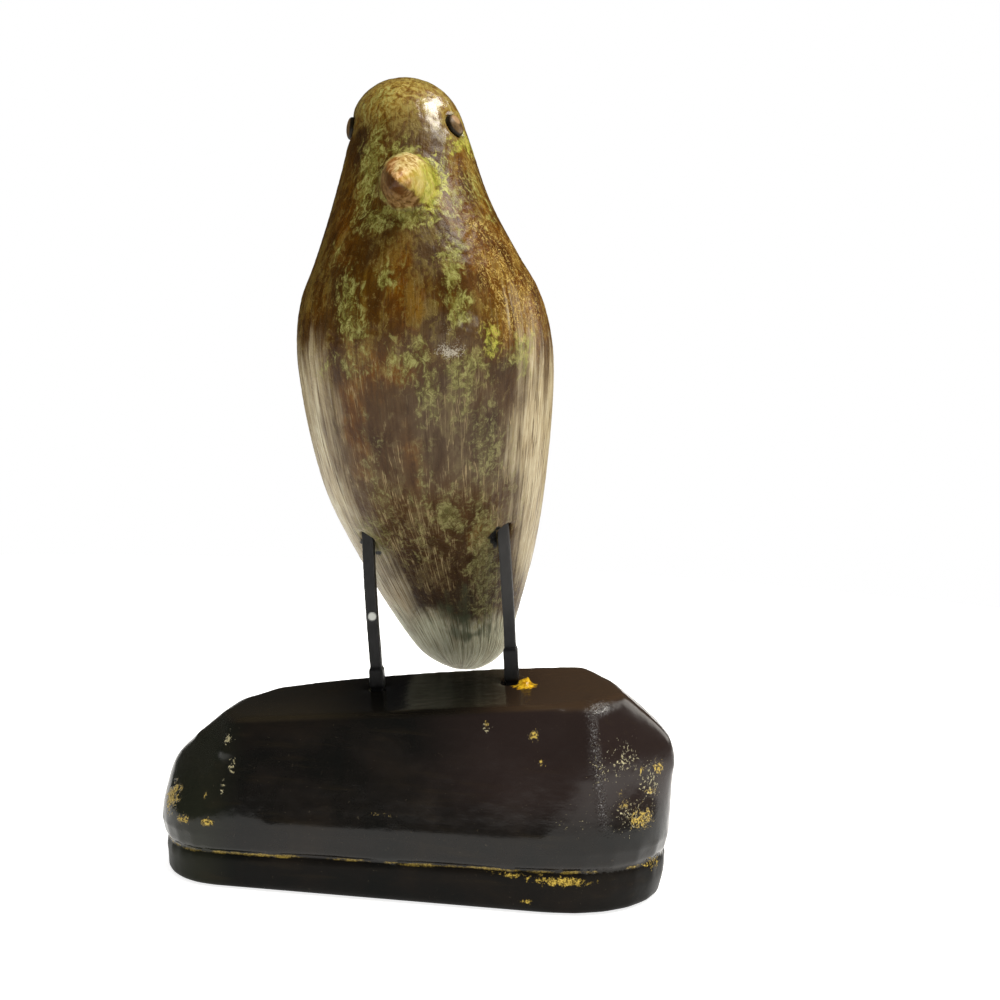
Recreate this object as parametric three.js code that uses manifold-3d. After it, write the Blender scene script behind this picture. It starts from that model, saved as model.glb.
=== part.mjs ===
// Carved and painted wren on two metal legs, standing on a carved wooden block.
// Millimetres, +Z up. The bird looks along -Y and the block is long in X.
// The origin is the middle of the block's flat underside.

import * as THREE from 'three';
import { mergeVertices } from 'three/addons/utils/BufferGeometryUtils.js';
import Module from 'manifold-3d';

// Block: a foot slab, a carved groove, a rim and sloped sides up to the top face
const rimLength = 149.8;
const rimDepth = 55;
const leftCornerLength = 21;
const leftCornerDepth = 22;
const rightCornerLength = 34;
const rightCornerDepth = 27.3;
const rimHeight = 21.2;
const footHeight = 10.2;
const footInset = 1.7;
const footLeftInset = 2.6;
const footEdge = 2.6;
const footRightUndercut = 3.4;
const rimStep = 0.1;
const grooveDepth = 1.3;
const grooveWidth = 2.2;
const lipDrop = 1.1;
const lipInset = 0.5;
const topHeight = 51.7;
const lowerTilt = THREE.MathUtils.degToRad(1.2);
const topTilt = THREE.MathUtils.degToRad(6.2);
const leftEndInset = 17.2;
const rightEndInset = 12.3;
const topSideInset = 6.4;
const topEdge = 1.2;
const topEdgeDrop = 0.7;
// Each end is cut by a flat facet at the front and back corners, rounded off only at the rim
const leftFacetLength = 21;
const leftFacetDepth = 19;
const rightFacetLength = 22.5;
const rightFacetDepth = 21;
const facetStart = 0.36;
const facetRoundness = 0.08;
const topLeftCornerLength = 8;
const topRightCornerLength = 14;
const topBackCornerLength = 5;
const topCornerDepth = 13;
const rightEndSkew = 11;
const topCrown = 3.7;
const crownX = 20;
const crownReach = 74;
// The ends stand upright to this share of the height and then slope in to the top face
const leftKnee = 0.44;
const rightKnee = 0.6;
const kneeSoftness = 0.1;

// Legs: flat bars with a thicker foot, let into the block and into the body
const legWidth = 3.5;
const legThickness = 3;
const legSpacing = 41;
const legShift = -0.6;
const legForward = -7.2;
const legIntoBlock = 8;
const socketAboveBlock = 12;
const legTop = 53;
const collarWidth = 4.3;
const collarThickness = 3.8;
const leftCollarHeight = 9.5;
const rightCollarHeight = 5.6;
const gap = 0.3;

// Bird, in a frame that stands square on the tilted top face
const birdX = 6.1;
const crownZ = 176.3;
const skullZ = 163;
const tailZ = -1.5;
const tailRoundZ = 8;
const around = 60;
const rows = 46;

// Middle line, half width, front and back of the body at each named height
const stations = [
  { name: 'tail tip', z: tailZ, middle: 3, halfWidth: 11.2, front: 36, back: 46.5 },
  { name: 'tail', z: 17, middle: 0.7, halfWidth: 19.8, front: 25, back: 50 },
  { name: 'vent', z: 38, middle: -0.3, halfWidth: 27.8, front: 7.5, back: 52 },
  { name: 'belly', z: 63, middle: -0.7, halfWidth: 34.2, front: -16.5, back: 48 },
  { name: 'breast', z: 96, middle: 1, halfWidth: 37.1, front: -36.5, back: 36 },
  { name: 'shoulder', z: 114, middle: 1.1, halfWidth: 34.7, front: -38.5, back: 28 },
  { name: 'nape', z: 124, middle: 1, halfWidth: 29.7, front: -36.5, back: 22 },
  { name: 'neck', z: 134, middle: 0.7, halfWidth: 25.1, front: -33, back: 16 },
  { name: 'throat', z: 143, middle: 0.5, halfWidth: 21.7, front: -29.5, back: 11.5 },
  { name: 'cheek', z: 156, middle: 0.9, halfWidth: 17.8, front: -26, back: 7 },
  { name: 'brow', z: 165, middle: 0.5, halfWidth: 15.8, front: -23.8, back: 4 },
  { name: 'crown', z: crownZ, middle: -0.2, halfWidth: 15, front: -21, back: 1 },
];

// Beak: a short blunt cone that dips a little
const beakZ = 141.5;
const beakLength = 18;
const beakX = 2.2;
const beakHalfWidth = 6.8;
const beakHalfHeight = 7.2;
const beakRoot = 9;
const beakTipRadius = 1.3;
const beakFullness = 1.12;
const beakTaper = 0.82;
const beakDip = THREE.MathUtils.degToRad(13.5);
const beakTurn = THREE.MathUtils.degToRad(1);

// Eyes: domed beads in shallow sockets, set by eye and so not quite level
const eyes = {
  left: { z: 160, angle: THREE.MathUtils.degToRad(61) },
  right: { z: 162.6, angle: THREE.MathUtils.degToRad(-74) },
};
const eyeRadius = 3.1;
const eyeDome = 1.3;
const eyePeg = 2;
const socketLip = 0.5;
const socketFlare = 1;

// Facets round a turned shape, and how close two points are before they are one
const beakSides = 32;
const eyeSides = 28;
const weld = 1e-5;

const wasm = await Module();
wasm.setup();

// Turns a closed geometry into a solid for joining and cutting
function toSolid(geometry) {
  const bare = geometry.clone();
  bare.deleteAttribute('normal');
  bare.deleteAttribute('uv');
  const merged = mergeVertices(bare, weld);
  return new wasm.Manifold(new wasm.Mesh({
    numProp: 3,
    vertProperties: new Float32Array(merged.attributes.position.array),
    triVerts: new Uint32Array(merged.index.array),
  }));
}

function toGeometry(solid) {
  const mesh = solid.getMesh();
  const geometry = new THREE.BufferGeometry();
  geometry.setAttribute('position', new THREE.BufferAttribute(mesh.vertProperties, 3));
  geometry.setIndex(new THREE.BufferAttribute(mesh.triVerts, 1));
  geometry.computeVertexNormals();
  return geometry;
}

// Skins a stack of closed rings, each listed anticlockwise from above, lowest first
function loft(rings) {
  const count = rings[0].length;
  const points = rings.flat();
  const faces = [];
  for (let level = 0; level < rings.length - 1; level += 1) {
    for (let i = 0; i < count; i += 1) {
      const a = level * count + i;
      const b = level * count + (i + 1) % count;
      faces.push(a, b, b + count, a, b + count, a + count);
    }
  }
  const closeRing = (ring, start, facesUp) => {
    const middle = points.length;
    const sum = new THREE.Vector3();
    ring.forEach((point) => sum.add(point));
    points.push(sum.divideScalar(count));
    for (let i = 0; i < count; i += 1) {
      const a = start + i;
      const b = start + (i + 1) % count;
      faces.push(...(facesUp ? [a, b, middle] : [b, a, middle]));
    }
  };
  closeRing(rings[0], 0, false);
  closeRing(rings[rings.length - 1], (rings.length - 1) * count, true);
  const geometry = new THREE.BufferGeometry().setFromPoints(points);
  geometry.setIndex(faces);
  return geometry;
}

// Smooth value between the stations, which stand at uneven heights
function alongBody(z, key) {
  const last = stations.length - 2;
  let i = 0;
  while (i < last && z > stations[i + 1].z) {
    i += 1;
  }
  const from = stations[i];
  const to = stations[i + 1];
  const slope = (k) => {
    const below = stations[Math.max(k - 1, 0)];
    const above = stations[Math.min(k + 1, stations.length - 1)];
    return (above[key] - below[key]) / (above.z - below.z);
  };
  const span = to.z - from.z;
  const t = THREE.MathUtils.clamp((z - from.z) / span, 0, 1);
  const rise = t * t * (3 - 2 * t);
  const leave = t * (1 - t) * (1 - t) * span * slope(i);
  const arrive = t * t * (t - 1) * span * slope(i + 1);
  return from[key] + (to[key] - from[key]) * rise + leave + arrive;
}

// 1 along the body, falling to 0 in a round end at the crown and at the tail tip
function roundEnd(z) {
  const over = Math.max(0, (z - skullZ) / (crownZ - skullZ));
  const under = Math.max(0, (tailRoundZ - z) / (tailRoundZ - tailZ));
  return Math.sqrt(Math.max(0, 1 - over * over - under * under));
}

// Point on the bird's skin. Angle 0 is the breast side and it grows towards +X.
function skin(z, angle) {
  const front = alongBody(z, 'front');
  const back = alongBody(z, 'back');
  const scale = roundEnd(z);
  const x = alongBody(z, 'halfWidth') * scale * Math.sin(angle);
  const y = (front + back) / 2 - (back - front) / 2 * scale * Math.cos(angle);
  return new THREE.Vector3(birdX + alongBody(z, 'middle') + x, y, z);
}

function skinNormal(z, angle) {
  const step = 0.01;
  const up = skin(z + step, angle).sub(skin(z - step, angle));
  const side = skin(z, angle + step).sub(skin(z, angle - step));
  return side.cross(up).normalize();
}

function bodyGeometry() {
  const rings = [];
  for (let row = 1; row < rows; row += 1) {
    const share = (1 - Math.cos(Math.PI * row / rows)) / 2;
    const z = THREE.MathUtils.lerp(tailZ, crownZ, share);
    const ring = [];
    for (let i = 0; i < around; i += 1) {
      ring.push(skin(z, 2 * Math.PI * i / around));
    }
    rings.push(ring);
  }
  return loft(rings);
}

function beakGeometry() {
  const root = skin(beakZ, 0);
  const profile = [new THREE.Vector2(0, -beakRoot)];
  const steps = 10;
  for (let i = 0; i <= steps; i += 1) {
    const t = i / steps;
    const cone = beakFullness * Math.pow(1 - t, beakTaper);
    const radius = cone + beakTipRadius / beakHalfWidth * t * Math.sqrt(1 - t * t);
    profile.push(new THREE.Vector2(i === steps ? 0 : radius, i === 0 ? -beakRoot : beakLength * t));
  }
  const geometry = new THREE.LatheGeometry(profile, beakSides);
  geometry.scale(beakHalfWidth, 1, beakHalfHeight);
  geometry.rotateX(Math.PI);
  geometry.rotateX(beakDip);
  geometry.rotateZ(beakTurn);
  geometry.translate(root.x + beakX, root.y, root.z);
  return geometry;
}

// A turned shape that stands on the skin at an eye, its axis along the skin's normal
function placeAtEye(geometry, eye) {
  const place = skin(eye.z, eye.angle);
  const normal = skinNormal(eye.z, eye.angle);
  const turn = new THREE.Quaternion().setFromUnitVectors(new THREE.Vector3(0, 1, 0), normal);
  geometry.applyQuaternion(turn);
  geometry.translate(place.x, place.y, place.z);
  return geometry;
}

function beadGeometry(eye) {
  const profile = [new THREE.Vector2(0, -eyePeg), new THREE.Vector2(eyeRadius, -eyePeg)];
  const steps = 6;
  for (let i = 0; i <= steps; i += 1) {
    const turn = i / steps * Math.PI / 2;
    const x = i === steps ? 0 : eyeRadius * Math.cos(turn);
    profile.push(new THREE.Vector2(x, -socketLip + eyeDome * Math.sin(turn)));
  }
  return placeAtEye(new THREE.LatheGeometry(profile, eyeSides), eye);
}

function eyeSocketGeometry(eye) {
  const radius = eyeRadius + gap;
  const profile = [
    new THREE.Vector2(0, -eyePeg - gap),
    new THREE.Vector2(radius, -eyePeg - gap),
    new THREE.Vector2(radius, -socketLip),
    new THREE.Vector2(radius + socketFlare, 2 * socketFlare),
    new THREE.Vector2(0, 2 * socketFlare),
  ];
  return placeAtEye(new THREE.LatheGeometry(profile, eyeSides), eye);
}

// A box between two heights, standing at a leg
function barGeometry(side, width, thickness, low, high) {
  const geometry = new THREE.BoxGeometry(width, thickness, high - low);
  geometry.translate(legX(side), -legForward, (low + high) / 2);
  return geometry;
}

function legX(side) {
  return birdX + legShift + side * legSpacing / 2;
}

function legGeometry(side, collarHeight) {
  const bar = toSolid(barGeometry(side, legWidth, legThickness, -legIntoBlock, legTop));
  const foot = topLift(legX(side), -legForward) + gap;
  const collar = toSolid(barGeometry(side, collarWidth, collarThickness, foot, foot + collarHeight));
  return toGeometry(bar.add(collar));
}

function socketGeometry(side, low, high) {
  return barGeometry(side, legWidth + 2 * gap, legThickness + 2 * gap, low, high);
}

// One level of the block, anticlockwise from above, with cut or rounded corners.
// The skew moves the back of the right end in.
function blockOutline(size, height) {
  const { left, right, front, back, leftCorner, rightCorner, roundness } = size;
  const { backRightCorner = rightCorner, skew = 0 } = size;
  const cornerSteps = 6;
  const sideSteps = { long: 8, short: 1 };
  const corners = [
    [right - rightCorner.x, front + rightCorner.y, rightCorner],
    [right - backRightCorner.x, back - backRightCorner.y, backRightCorner],
    [left + leftCorner.x, back - leftCorner.y, leftCorner],
    [left + leftCorner.x, front + leftCorner.y, leftCorner],
  ];
  const onCorner = (quarter, share) => {
    const [x, y, reach] = corners[quarter % 4];
    const turn = (quarter - 1 + share) * Math.PI / 2;
    return new THREE.Vector2(x + reach.x * Math.cos(turn), y + reach.y * Math.sin(turn));
  };
  const flat = [];
  for (let quarter = 0; quarter < 4; quarter += 1) {
    for (let i = 0; i <= cornerSteps; i += 1) {
      const share = i / cornerSteps;
      const cut = onCorner(quarter, 0).lerp(onCorner(quarter, 1), share);
      flat.push(cut.lerp(onCorner(quarter, share), roundness));
    }
    const along = quarter % 2 === 0 ? sideSteps.short : sideSteps.long;
    for (let i = 1; i < along; i += 1) {
      flat.push(onCorner(quarter, 1).lerp(onCorner(quarter + 1, 0), i / along));
    }
  }
  return flat.map(({ x, y }) => {
    const movedX = x - skew * Math.max(0, x / right) * (y - front) / (back - front);
    return new THREE.Vector3(movedX, y, height(movedX, y));
  });
}

// How far the top face stands above its own tilted plane: a soft swell towards the back
function topLift(x, y) {
  const halfDepth = rimDepth / 2 - topSideInset;
  const across = 1 - Math.min(1, ((x - crownX) / crownReach) ** 2);
  const towardsBack = THREE.MathUtils.clamp((y + halfDepth) / (2 * halfDepth), 0, 1);
  return topCrown * across * towardsBack ** 2;
}

// How far an end has turned in: 0 up to its knee, then a straight climb to 1 at the top
function turnIn(climb, knee) {
  const ramp = (share) => share - knee + Math.hypot(share - knee, kneeSoftness);
  return ramp(climb) / ramp(1);
}

function blockGeometry() {
  const corners = {
    left: {
      rim: new THREE.Vector2(leftCornerLength, leftCornerDepth),
      facet: new THREE.Vector2(leftFacetLength, leftFacetDepth),
      top: new THREE.Vector2(topLeftCornerLength, topCornerDepth),
    },
    right: {
      rim: new THREE.Vector2(rightCornerLength, rightCornerDepth),
      facet: new THREE.Vector2(rightFacetLength, rightFacetDepth),
      top: new THREE.Vector2(topRightCornerLength, topCornerDepth),
    },
    backRight: {
      rim: new THREE.Vector2(rightCornerLength, rightCornerDepth),
      facet: new THREE.Vector2(rightFacetLength, rightFacetDepth),
      top: new THREE.Vector2(topBackCornerLength, topCornerDepth),
    },
  };
  const rounded = (inset, leftInset = inset, rightInset = inset) => ({
    left: -rimLength / 2 + leftInset,
    right: rimLength / 2 - rightInset,
    front: -rimDepth / 2 + inset,
    back: rimDepth / 2 - inset,
    leftCorner: corners.left.rim.clone().subScalar(inset),
    rightCorner: corners.right.rim.clone().subScalar(inset),
    roundness: 1,
  });
  const footLeft = footLeftInset - footInset;
  const flat = (z) => () => z;
  const leaning = (z) => (x) => z + x * Math.tan(lowerTilt);
  const rings = [];
  const edgeSteps = 3;
  for (let i = 0; i <= edgeSteps; i += 1) {
    const turn = i / edgeSteps * Math.PI / 2;
    const under = 1 - Math.sin(turn);
    const inset = footInset + footEdge * under;
    const z = footEdge * (1 - Math.cos(turn));
    const outline = rounded(inset, inset + footLeft, inset + footRightUndercut * under);
    rings.push(blockOutline(outline, flat(z)));
  }
  const lips = [
    [footInset, footHeight, footLeft],
    [footInset + grooveDepth, footHeight + grooveWidth / 2, footLeft],
    [footInset - rimStep, footHeight + grooveWidth, footLeft / 2],
    [0, rimHeight - lipDrop, 0],
  ];
  for (const [inset, z, moreLeft] of lips) {
    rings.push(blockOutline(rounded(inset, inset + moreLeft), leaning(z)));
  }

  // One level of the sloped sides, from 0 at the rim to 1 at the top face
  const sloped = (climb, inset, scale) => {
    const cut = THREE.MathUtils.smoothstep(climb, 0, facetStart);
    const leftTurn = turnIn(climb, leftKnee);
    const rightTurn = turnIn(climb, rightKnee);
    const side = lipInset + (topSideInset - lipInset) * climb + inset;
    const corner = ({ rim, facet, top }, turn) => (
      rim.clone().lerp(facet, cut).lerp(top, turn).subScalar(inset).multiplyScalar(scale)
    );
    return {
      left: (-rimLength / 2 + leftEndInset * leftTurn + inset) * scale,
      right: (rimLength / 2 - rightEndInset * rightTurn - inset) * scale,
      front: (-rimDepth / 2 + side) * scale,
      back: (rimDepth / 2 - side) * scale,
      leftCorner: corner(corners.left, leftTurn),
      rightCorner: corner(corners.right, rightTurn),
      backRightCorner: corner(corners.backRight, rightTurn),
      roundness: THREE.MathUtils.lerp(1, facetRoundness, cut),
      skew: rightEndSkew * rightTurn * scale,
    };
  };
  const slopeSteps = 10;
  for (let i = 0; i <= slopeSteps; i += 1) {
    const climb = i / slopeSteps;
    const height = (x, y) => {
      const tilted = topHeight - topEdgeDrop + x * Math.tan(topTilt) + topLift(x, y);
      return THREE.MathUtils.lerp(leaning(rimHeight)(x), tilted, climb);
    };
    rings.push(blockOutline(sloped(climb, 0, 1), height));
  }
  const topFace = (x, y) => topHeight + x * Math.tan(topTilt) + topLift(x, y);
  const topRings = 3;
  for (let i = topRings; i > 0; i -= 1) {
    rings.push(blockOutline(sloped(1, topEdge, i / topRings), topFace));
  }
  return loft(rings);
}

// The bird and its legs stand square on the tilted top face
const stand = new THREE.Group();
stand.position.set(0, 0, topHeight);
stand.rotation.y = -topTilt;
stand.updateMatrix();

function makeBird() {
  let solid = toSolid(bodyGeometry()).add(toSolid(beakGeometry()));
  for (const eye of [eyes.left, eyes.right]) {
    solid = solid.subtract(toSolid(eyeSocketGeometry(eye)));
  }
  for (const side of [-1, 1]) {
    solid = solid.subtract(toSolid(socketGeometry(side, 0, legTop + gap)));
  }
  return toGeometry(solid);
}

function makeBlock() {
  let solid = toSolid(blockGeometry());
  for (const side of [-1, 1]) {
    const socket = socketGeometry(side, -legIntoBlock - gap, socketAboveBlock);
    socket.applyMatrix4(stand.matrix);
    solid = solid.subtract(toSolid(socket));
  }
  return toGeometry(solid);
}

function addPiece(group, name, geometry, colour, roughness, metalness) {
  const material = new THREE.MeshStandardMaterial({ color: colour, roughness, metalness });
  const mesh = new THREE.Mesh(geometry, material);
  mesh.name = name;
  group.add(mesh);
}

const model = new THREE.Group();
model.add(stand);
addPiece(model, 'base', makeBlock(), 0x1c1512, 0.25, 0);
addPiece(stand, 'bird_body', makeBird(), 0x7a5a2c, 0.5, 0);
addPiece(stand, 'eye_left', beadGeometry(eyes.left), 0x2b1a10, 0.15, 0);
addPiece(stand, 'eye_right', beadGeometry(eyes.right), 0x2b1a10, 0.15, 0);
addPiece(stand, 'leg_left', legGeometry(1, leftCollarHeight), 0x101012, 0.45, 0.3);
addPiece(stand, 'leg_right', legGeometry(-1, rightCollarHeight), 0x101012, 0.45, 0.3);

export default model;
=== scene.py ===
import math
import random

import bmesh
import bpy
import numpy as np
from mathutils import Matrix, Vector, noise


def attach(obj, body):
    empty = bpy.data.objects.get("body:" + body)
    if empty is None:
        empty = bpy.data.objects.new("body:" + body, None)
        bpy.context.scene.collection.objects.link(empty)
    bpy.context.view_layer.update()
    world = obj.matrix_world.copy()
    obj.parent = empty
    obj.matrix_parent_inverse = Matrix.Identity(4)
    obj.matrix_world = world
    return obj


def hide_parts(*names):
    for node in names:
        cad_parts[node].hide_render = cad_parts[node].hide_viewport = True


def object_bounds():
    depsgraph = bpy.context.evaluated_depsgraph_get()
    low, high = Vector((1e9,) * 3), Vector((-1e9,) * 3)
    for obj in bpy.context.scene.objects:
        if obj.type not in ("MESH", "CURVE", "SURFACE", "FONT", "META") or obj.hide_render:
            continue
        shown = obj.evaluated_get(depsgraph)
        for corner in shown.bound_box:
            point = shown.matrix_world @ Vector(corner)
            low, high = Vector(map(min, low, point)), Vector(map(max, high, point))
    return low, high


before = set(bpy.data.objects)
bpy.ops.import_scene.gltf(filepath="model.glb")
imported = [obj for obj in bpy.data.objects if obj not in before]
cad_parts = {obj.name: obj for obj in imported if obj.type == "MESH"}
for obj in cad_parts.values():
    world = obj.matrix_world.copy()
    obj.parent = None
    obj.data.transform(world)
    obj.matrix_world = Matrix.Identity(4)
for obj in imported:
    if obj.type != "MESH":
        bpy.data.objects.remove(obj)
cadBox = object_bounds()

mm = 0.001
mergeWithin = 0.00001   # m, points of a solid closer than this are one point
boxMargin = 0.00002     # m, how far the looks stay inside the solids' box


# small helpers

def colour(red, green, blue):
    # screen colour 0-255 to the linear colour that the shaders take
    def linear(part):
        part = part / 255
        return part / 12.92 if part <= 0.04045 else ((part + 0.055) / 1.055) ** 2.4
    return (linear(red), linear(green), linear(blue), 1.0)


def addNode(tree, kind, inputs=None, **settings):
    made = tree.nodes.new(kind)
    for name, value in settings.items():
        setattr(made, name, value)
    for socket, value in (inputs or {}).items():
        if isinstance(value, bpy.types.NodeSocket):
            tree.links.new(value, made.inputs[socket])
        else:
            made.inputs[socket].default_value = value
    return made


def maths(tree, operation, first, second=0.0, clamp=False):
    made = addNode(tree, "ShaderNodeMath", {0: first, 1: second}, operation=operation)
    made.use_clamp = clamp
    return made.outputs[0]


def noiseOf(tree, vector, scale, detail=4.0, roughness=0.5, distortion=0.0):
    made = addNode(tree, "ShaderNodeTexNoise", {
        "Vector": vector, "Scale": scale, "Detail": detail,
        "Roughness": roughness, "Distortion": distortion})
    return made.outputs[0]


def stretched(tree, vector, scale, turn=(0, 0, 0)):
    made = addNode(tree, "ShaderNodeMapping", {
        "Vector": vector, "Scale": scale, "Rotation": turn})
    return made.outputs[0]


def fade(tree, value, low, high, toLow=0.0, toHigh=1.0):
    # smooth step from toLow at low to toHigh at high
    made = addNode(tree, "ShaderNodeMapRange", {
        0: value, 1: low, 2: high, 3: toLow, 4: toHigh}, interpolation_type="SMOOTHSTEP")
    return made.outputs[0]


def blendColour(tree, amount, under, over):
    made = addNode(tree, "ShaderNodeMix", {0: amount, 6: under, 7: over}, data_type="RGBA")
    return made.outputs[2]


def colourRamp(tree, value, stops):
    # stops are (place, screen colour)
    made = addNode(tree, "ShaderNodeValToRGB", {0: value})
    ramp = made.color_ramp
    while len(ramp.elements) < len(stops):
        ramp.elements.new(0.5)
    for element, (place, shade) in zip(ramp.elements, stops):
        element.position = place
        element.color = colour(*shade)
    return made.outputs[0]


def painted(tree, name):
    return addNode(tree, "ShaderNodeAttribute", attribute_name=name).outputs["Fac"]


def newMaterial(name):
    made = bpy.data.materials.new(name)
    made.use_nodes = True
    tree = made.node_tree
    shader = tree.nodes["Principled BSDF"]
    coords = addNode(tree, "ShaderNodeTexCoord").outputs["Object"]
    return made, tree, shader, coords


def bumped(tree, height, strength, distance, under=None):
    inputs = {"Height": height, "Strength": strength, "Distance": distance}
    if under is not None:
        inputs["Normal"] = under
    return addNode(tree, "ShaderNodeBump", inputs).outputs[0]


def times(tree, *values):
    product = values[0]
    for value in values[1:]:
        product = maths(tree, "MULTIPLY", product, value)
    return product


def ridge(tree, value, wide):
    # thin lines where a noise crosses its middle
    away = maths(tree, "ABSOLUTE", maths(tree, "SUBTRACT", value, 0.5))
    return fade(tree, away, wide, wide * 0.3)


def torn(tree, name, breakUp, strength, softness):
    # a painted area whose edge and inside are broken up by a noise
    area = painted(tree, name)
    amount = maths(tree, "ADD", area, maths(tree, "MULTIPLY", breakUp, strength))
    middle = 0.5 + strength * 0.5
    inside = fade(tree, area, 0.04, 0.22)
    return times(tree, fade(tree, amount, middle - softness, middle + softness), inside)


def smoothStep(value, low, high):
    share = np.clip((value - low) / (high - low), 0, 1)
    return share * share * (3 - 2 * share)


def linkObject(name, mesh):
    made = bpy.data.objects.new(name, mesh)
    bpy.context.scene.collection.objects.link(made)
    return made


def finishPiece(piece, material, node):
    piece.data.materials.clear()
    piece.data.materials.append(material)
    for face in piece.data.polygons:
        face.use_smooth = True
    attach(piece, "root")
    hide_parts(node)
    print(piece.name, len(piece.data.polygons), "faces")


def everywhere(place):
    return True


def skinOf(nodeName, pieceName, voxel, smoothing):
    # fine skin of a solid: merged copy, remeshed, then smoothed in turn where each stage says
    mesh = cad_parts[nodeName].data.copy()
    mesh.name = pieceName
    bm = bmesh.new()
    bm.from_mesh(mesh)
    bmesh.ops.remove_doubles(bm, verts=bm.verts, dist=mergeWithin)
    bm.to_mesh(mesh)
    bm.free()
    rough = linkObject(pieceName + "Rough", mesh)
    remesh = rough.modifiers.new("remesh", "REMESH")
    remesh.mode = "VOXEL"
    remesh.voxel_size = voxel
    graph = bpy.context.evaluated_depsgraph_get()
    fine = bpy.data.meshes.new_from_object(rough.evaluated_get(graph))
    bpy.data.objects.remove(rough)
    bm = bmesh.new()
    bm.from_mesh(fine)
    for steps, where in smoothing:
        chosen = [v for v in bm.verts if where(v.co / mm)]
        for step in range(steps):
            bmesh.ops.smooth_vert(bm, verts=chosen, factor=0.5,
                                  use_axis_x=True, use_axis_y=True, use_axis_z=True)
    bmesh.ops.recalc_face_normals(bm, faces=bm.faces)
    bm.to_mesh(fine)
    bm.free()
    fine.name = pieceName
    return linkObject(pieceName, fine)


def pointsOf(mesh):
    places = np.empty(len(mesh.vertices) * 3)
    mesh.vertices.foreach_get("co", places)
    normals = np.empty(len(mesh.vertices) * 3)
    mesh.vertices.foreach_get("normal", normals)
    return places.reshape(-1, 3) / mm, normals.reshape(-1, 3)


def movePoints(mesh, places):
    low, high = cadBox
    places = np.clip(places * mm, np.array(low) + boxMargin, np.array(high) - boxMargin)
    mesh.vertices.foreach_set("co", places.ravel())
    mesh.update()


def paintLayer(mesh, name, amounts):
    layer = mesh.attributes.new(name, "FLOAT", "POINT")
    layer.data.foreach_set("value", np.clip(amounts, 0, 1).astype(np.float32))


def bodyFlow(places, girth):
    # place round the body on a circle of one girth at every height: constant along a brush stroke
    step, rows = 3.0, 7     # mm between the levels, and how many are averaged
    levels = np.arange(places[:, 2].min(), places[:, 2].max(), step)
    level = np.digitize(places[:, 2], levels) - 1
    flow = np.empty_like(places)
    weights = np.full(rows, 1 / rows)
    soften = lambda row: np.convolve(np.pad(row, rows // 2, mode="edge"), weights, mode="valid")
    for axis in (0, 1):
        low = np.array([places[level == i, axis].min() for i in range(len(levels))])
        high = np.array([places[level == i, axis].max() for i in range(len(levels))])
        low = np.interp(places[:, 2], levels + step / 2, soften(low))
        high = np.interp(places[:, 2], levels + step / 2, soften(high))
        flow[:, axis] = (places[:, axis] - (low + high) / 2) / (high - low)
    reach = np.maximum(np.hypot(flow[:, 0], flow[:, 1]), 0.05)   # never nought at the ends
    flow[:, 0] *= girth / reach
    flow[:, 1] *= girth / reach
    flow[:, 2] = places[:, 2]
    return flow


def noiseField(places, scale, offset, octaves=3):
    # fractal noise at each point, about -1 to 1; scale is the size in mm of the swells
    step = np.array(scale, float)
    shift = np.array(offset, float)
    return np.array([noise.fractal(Vector(p), 1.0, 2.0, octaves)
                     for p in places / step + shift])


# camera

viewpoint = {
    "place": (42.24, -291.49, 120.69),   # mm
    "turn": 4.387, "dip": 1.975, "roll": 2.872,   # degrees
    "lens": 36, "sensor": 36,   # mm
    "clip": (0.01, 50),         # m
}


def placeCamera(v):
    data = bpy.data.cameras.new("photoView")
    data.lens = v["lens"]
    data.sensor_width = v["sensor"]
    data.clip_start, data.clip_end = v["clip"]
    camera = bpy.data.objects.new("photoView", data)
    bpy.context.scene.collection.objects.link(camera)
    turn, dip, roll = (math.radians(v[key]) for key in ("turn", "dip", "roll"))
    forward = Vector((-math.sin(turn) * math.cos(dip), math.cos(turn) * math.cos(dip),
                      -math.sin(dip)))
    level = Vector((math.cos(turn), math.sin(turn), 0))
    upright = level.cross(forward)
    right = math.cos(roll) * level + math.sin(roll) * upright
    up = right.cross(forward)
    axes = Matrix((right, up, -forward)).transposed()
    camera.matrix_world = Matrix.Translation(Vector(v["place"]) * mm) @ axes.to_4x4()
    bpy.context.scene.camera = camera


placeCamera(viewpoint)
print("camera placed")


# light, floor

studio = {
    "sky": 0.26,          # soft light all round
    "skyInGloss": 0.035,  # what polished parts mirror, away from the lamps and floor
    "lamps": {            # degrees round and up, metres, watts, and whether gloss shows it
        "key": {"turn": 60, "lift": 60, "far": 0.85, "size": 0.24, "power": 5.3, "gloss": True},
        "crown": {"turn": 100, "lift": 64, "far": 0.85, "size": 0.22, "power": 2.4, "gloss": True},
        "top": {"turn": 0, "lift": 84, "far": 0.9, "size": 0.5, "power": 4.2, "gloss": False},
        "fill": {"turn": -70, "lift": 30, "far": 1.0, "size": 0.7, "power": 0.3, "gloss": False},
        "rear": {"turn": 118, "lift": 14, "far": 0.9, "size": 0.4, "power": 2.4, "gloss": True},
        "strip": {"turn": 46, "lift": 6, "far": 0.9, "size": 0.07, "power": 1.3, "gloss": True},
    },
    "lampColour": (1.0, 0.96, 0.88),
    "floorShade": (0.86, 0.86, 0.86, 1),
    "floorGlow": 0.79,
    "floorRadius": 0.9,   # m
    "aim": (5, 0, 110),   # mm
}


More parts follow.
